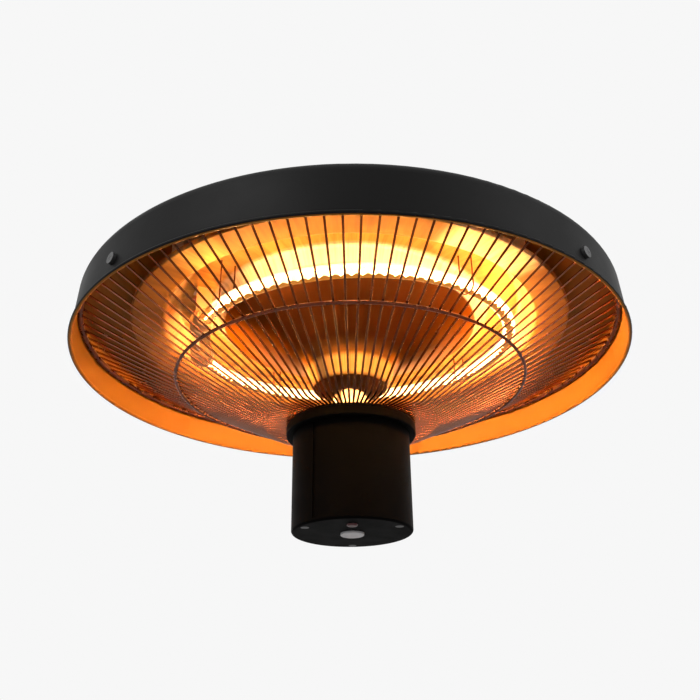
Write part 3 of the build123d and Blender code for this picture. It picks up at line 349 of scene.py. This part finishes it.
def reflector_aluminium():
    """Painted light and shade bands by zone, painted shade towards the back, and duller on the flange, which
    has painted highlights.
    """
    t = SpunSurface("spun_reflector", anisotropic=0.8)
    radius = t.radius()
    angle = t.angle()
    # Painted shade: the base darkens towards the back
    back = t.over(t.plus(t.times(t.x, -0.25), t.times(t.y, 0.97)), radius)
    # Gold-tinted aluminium; the tint is partly the metal's own and partly painted orange light
    base = t.shades((0.84, 0.64, 0.34), (0.74, 0.52, 0.25))
    base = t.mix(t.span(back, low=-0.1, high=0.8, smooth=True), base, (0.20, 0.095, 0.028))
    # Painted light and shade: bright and dark bands by radius
    for tint, start, full in REFLECTOR_PAINTED_BANDS.values():
        base = t.mix(t.span(radius, start, full, smooth=True), base, tint)

    on_flange = t.span(radius, DULL_START, DULL_FULL, smooth=True)
    # Painted highlights: bright patches on the flange between two directions
    for tint, first, last in FLANGE_PAINTED_GLINTS:
        opening = t.span(angle, radians(first - GLINT_FADE_OUTSIDE), radians(first + GLINT_FADE_INSIDE),
                         smooth=True)
        closing = t.span(angle, radians(last - GLINT_FADE_INSIDE), radians(last + GLINT_FADE_OUTSIDE),
                         to_low=1.0, to_high=0.0, smooth=True)
        base = t.mix(t.times(t.times(opening, closing), on_flange), base, tint)

    t.set(base=t.streaked(base))
    t.set(rough=t.blurred(t.span(radius, DULL_START, DULL_FULL, to_low=0.34, to_high=0.54)))
    t.set(metal=t.span(radius, DULL_START, DULL_FULL, to_low=1.0, to_high=0.45))
    past_ridge = t.span(radius, CHANNEL_INNER - 0.004, CHANNEL_INNER)
    t.set(edge=t.mix(past_ridge, (0.67, 0.50, 0.42), (0.95, 0.8, 0.6)))
    return t.material


def baffle_steel():
    t = SpunSurface("baffle_steel", anisotropic=0.3)
    base = t.shades((0.55, 0.5, 0.45), (0.4, 0.36, 0.33))
    t.set(base=t.streaked(base), rough=t.blurred(0.38))
    return t.material


def plain_metal(name, colour, rough, grain=700.0, spread=0.06, front=None):
    """Plated metal with a fine grain. A front colour, painted shade, darkens the side towards the front."""
    t = Surface(name)
    cloud = t.noise(90.0, detail=4.0)
    if front:
        behind = t.span(t.over(t.y, t.radius()), low=-0.88, high=-0.45, smooth=True)
        base = t.mix(t.times(cloud, 0.2), t.mix(behind, front, colour), (0.08, 0.03, 0.02))
    else:
        base = t.mix(cloud, shaded(colour, 0.9), colour)
    t.set(base=base, metal=1.0, rough=t.drift(cloud, rough, spread))
    t.bump(t.noise(grain, detail=2.0), distance=0.00002, strength=0.5)
    return t.material


def plain_coat(name, colour, rough, grain=900.0, depth=0.00005, ior=1.5):
    """Paint, plastic or ceramic with a fine grain."""
    t = Surface(name)
    cloud = t.noise(60.0, detail=4.0)
    t.set(base=t.mix(cloud, shaded(colour, 0.85), shaded(colour, 1.1)))
    t.set(rough=t.drift(cloud, rough, spread=0.05), ior=ior)
    t.bump(t.noise(grain, detail=2.0), distance=depth, strength=0.5)
    return t.material


def quartz():
    """Clear, with a painted glow along the lit coil and a painted amber strip, toothed like the coil, along
    its lower edge.
    """
    t = Surface("quartz")
    angle = t.angle(TUBE_CENTRE_X)
    glow_start = COIL_START - GLOW_LEAD
    start = t.span(angle, radians(glow_start), radians(glow_start + GLOW_FADE))
    end = t.span(angle, radians(COIL_END - GLOW_FADE), radians(COIL_END), to_low=1.0, to_high=0.0)
    glowing = t.times(start, end)

    back_rise = t.times(t.y, tan(radians(TUBE_TILT)))
    side_rise = t.times(t.minus(t.x, TUBE_CENTRE_X), tan(radians(TUBE_SIDE_TILT)))
    lift = t.minus(t.minus(t.z, LIP_Z + TUBE_RISE), t.plus(back_rise, side_rise))
    side = t.minus(t.radius(TUBE_CENTRE_X), TUBE_RING_RADIUS)
    # Painted glow on the quartz's outer face along the lit coil
    outer_face = t.span(t.hypotenuse(side, lift), TUBE_RADIUS - 0.0006, TUBE_RADIUS - 0.0004)

    curl = t.times(angle, COIL_CURLS * 180.0 / (COIL_END - COIL_START))
    tooth = t.times(t.math("ABSOLUTE", t.math("SINE", curl)), TOOTH_RISE)
    # Painted glow: an opaque amber strip, toothed like the coil
    strip_top = STRIP_HEIGHT - TUBE_RADIUS
    strip = t.span(t.minus(lift, tooth), strip_top - STRIP_EDGE, strip_top, to_low=1.0, to_high=0.0)
    strip = t.times(strip, glowing)

    t.set(base=t.mix(strip, (1.0, 0.93, 0.84), (0.05, 0.02, 0.005)), rough=0.03, ior=1.45)
    t.set(through=t.minus(1.0, strip), glow=t.mix(strip, (1.0, 0.68, 0.34), (1.0, 0.36, 0.035)))
    brightness = t.span(strip, low=0.0, high=1.0, to_low=1.5, to_high=0.48)
    t.set(glow_strength=t.times(t.times(glowing, outer_face), brightness))
    t.bump(t.noise(300.0, detail=2.0), distance=0.00002, strength=0.3)
    t.light_shadows((1.0, 0.97, 0.93))
    return t.material


def glowing_wire():
    t = Surface("filament_glow")
    heat = t.noise(160.0, detail=2.0)
    t.set(base=(0.3, 0.12, 0.05), rough=0.6)
    t.set(glow=t.mix(heat, (1.0, 0.46, 0.13), (1.0, 0.56, 0.20)), glow_strength=520.0)
    return t.material


def dress_screws(node, name, colour, metal, head, places, first, outward=False):
    """Cross recesses, bumped and painted dark as shade, at even places round the axis, on heads that face
    along it, or outward from it.
    """
    t = Surface(name)
    low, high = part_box(node)
    step = 2 * pi / places
    turned = t.plus(t.angle(), step / 2 - radians(first))
    local = t.minus(t.math("FLOORED_MODULO", turned, step), step / 2)
    across = t.times(t.radius(), t.math("SINE", local))
    if outward:
        along = t.minus(t.z, (low[2] + high[2]) / 2)
    else:
        circle = (high[1] - head) / sin(radians(first))
        along = t.minus(t.times(t.radius(), t.math("COSINE", local)), circle)
    across = t.math("ABSOLUTE", across)
    along = t.math("ABSOLUTE", along)
    near, far = t.math("MINIMUM", across, along), t.math("MAXIMUM", across, along)
    in_arm = t.span(near, RECESS_ARM * head, RECESS_ARM_EDGE * head, to_low=1.0, to_high=0.0)
    in_reach = t.span(far, RECESS_REACH * head, RECESS_REACH_EDGE * head, to_low=1.0, to_high=0.0)
    recess_and_painted_shade = t.times(in_arm, in_reach)
    cloud = t.noise(90.0, detail=4.0)
    plain = t.mix(cloud, shaded(colour, 0.85), colour)
    # Painted shade: the recess is darkened almost to black
    t.set(base=t.mix(recess_and_painted_shade, plain, shaded(colour, 0.08)), metal=metal)
    t.set(rough=t.drift(cloud, middle=0.35, spread=0.07))
    t.bump(t.minus(1.0, recess_and_painted_shade), distance=0.0004, strength=0.8)
    dress(t.material, node)


def dress_shell():
    """Shade, reflector, baffle and what hangs and covers them."""
    dress(shade_enamel(), "shade")
    dress(reflector_aluminium(), "reflector")
    dress(baffle_steel(), "heat_baffle")
    dress(plain_coat("black_powder_coat", (0.016, 0.0155, 0.016), rough=0.4),
          "hanging_bail", "pivot_bracket", "junction_cover")
    dress(plain_coat("mica", (0.5, 0.46, 0.38), rough=0.6), "standoff_blocks")
    dress(plain_coat("nylon", (0.02, 0.02, 0.021), rough=0.5), "cable_gland", "gland_nut")


def dress_tube():
    """Tube, filament, caps, brackets and wiring."""
    dress(quartz(), "quartz_tube")
    dress(glowing_wire(), "filament")
    dress(plain_coat("ceramic", (0.40, 0.24, 0.10), rough=0.7, grain=1400.0, depth=0.00008),
          "end_caps", "terminal_block")
    dress(plain_metal("galvanised", (0.55, 0.45, 0.33), rough=0.35), "tube_end_brackets", "guard_clips")
    dress(plain_coat("glass_fibre", (0.7, 0.62, 0.5), rough=0.85, grain=1600.0, depth=0.0002), "lead_wires")
    dress(plain_coat("silicone", (0.35, 0.1, 0.06), rough=0.6), "lead_grommets")
    dress(plain_coat("cable_rubber", (0.02, 0.02, 0.02), rough=0.6), "control_cable")


def dress_guard():
    """Wires, with painted shade darkening them at the front, and rings."""
    # Copper-red tint as painted orange light; the front colour is painted shade
    dress(plain_metal("guard_wire", (0.40, 0.175, 0.11), rough=0.24, grain=1200.0, spread=0.04,
                      front=(0.085, 0.026, 0.012)),
          "guard_wires", "guard_wire_ends")
    # Painted shade: a darker copy of the wire steel, with the same red tint as painted orange light
    dress(plain_metal("guard_ring_painted_shade", (0.13, 0.046, 0.030), rough=0.28, grain=1200.0),
          "guard_mid_ring", "guard_outer_ring", "tube_clips")


def dress_fasteners():
    """Stem, sleeves, bolts, nuts, rivets and screws."""
    zinc = (0.62, 0.61, 0.58)
    black = (0.03, 0.03, 0.03)
    dress(plain_metal("zinc", zinc, rough=0.32),
          "stem_tube", "stem_nuts", "stem_washer", "pivot_bolts", "pivot_nuts", "pivot_washers",
          "guard_clip_nuts", "bracket_rivets")
    dress(plain_metal("bright_sleeve", (0.95, 0.84, 0.64), rough=0.2),
          "spacer_sleeve", "upper_spacer", "crown_spacer")
    dress_screws("shade_screws", "shade_screw", zinc, metal=1.0, head=0.004, places=4, first=45.0)
    dress_screws("cover_screws", "cover_screw", zinc, metal=1.0, head=0.0035, places=4, first=45.0)
    dress_screws("hub_screws", "hub_screw", black, metal=0.0, head=0.003, places=3, first=90.0)
    dress_screws("guard_clip_screws", "clip_screw", black, metal=0.0, head=0.004, places=8, first=0.0,
                 outward=True)


def dress_hub():
    """Housing, button, lens and electronics."""
    dress(plain_coat("hub_black", (0.0016, 0.0015, 0.0015), rough=0.5, grain=1500.0, depth=0.00006, ior=1.07),
          "guard_collar", "hub_lid", "hub_housing", "hub_base")
    dress(plain_coat("button_grey", (0.5, 0.5, 0.52), rough=0.4), "power_button")
    dress(plain_coat("lens_red", (0.06, 0.004, 0.006), rough=0.12), "receiver_lens")
    dress(plain_coat("laminate", (0.03, 0.16, 0.06), rough=0.4), "control_board")
    dress(plain_coat("component", (0.03, 0.035, 0.045), rough=0.45), "button_switch", "relay")


def lay_floor():
    """Pale paper far below, which looks brighter than it lights."""
    mesh = bpy.data.meshes.new("floor")
    corners = [(FLOOR_REACH * x, FLOOR_REACH * y, FLOOR_Z) for x, y in ((-1, -1), (1, -1), (1, 1), (-1, 1))]
    mesh.from_pydata(corners, [], [(0, 1, 2, 3)])
    floor = bpy.data.objects.new("floor", mesh)
    scene.collection.objects.link(floor)
    t = Surface("floor_paper")
    t.set(base=t.mix(t.noise(3.0), (0.78, 0.775, 0.77), (0.8, 0.795, 0.79)), rough=0.9, specular=0.1)
    seen = t.add("LightPath").outputs["Is Camera Ray"]
    t.set(glow=(0.93, 0.925, 0.92), glow_strength=t.times(seen, FLOOR_GLOW))
    mesh.materials.append(t.material)


def light_world():
    """Pale to the eye, in metal and through glass, and dimmer as a light."""
    world = bpy.data.worlds.new("studio")
    scene.world = world
    world.use_nodes = True
    t = Tree(world.node_tree)
    background = t.tree.nodes["Background"]
    path = t.add("LightPath").outputs
    seen = t.math("MAXIMUM", path["Is Camera Ray"], path["Is Glossy Ray"])
    seen = t.math("MAXIMUM", seen, path["Is Transmission Ray"])
    t.put(background.inputs["Color"], WORLD_COLOUR)
    t.put(background.inputs["Strength"], t.span(seen, low=0.0, high=1.0, to_low=WORLD_LIGHT))


def hang_lamps():
    """Three round soft lamps, turned to the heater."""
    for name, place, width, power in LAMPS:
        data = bpy.data.lights.new(name, "AREA")
        data.shape = "DISK"
        data.size = width
        data.energy = power
        lamp = bpy.data.objects.new(name, data)
        scene.collection.objects.link(lamp)
        lamp.location = place
        lamp.rotation_euler = (LAMP_TARGET - Vector(place)).to_track_quat("-Z", "Y").to_euler()


place_camera()
dress_shell()
dress_tube()
dress_guard()
dress_fasteners()
dress_hub()
lay_floor()
light_world()
hang_lamps()

scene.view_settings.view_transform = "Standard"
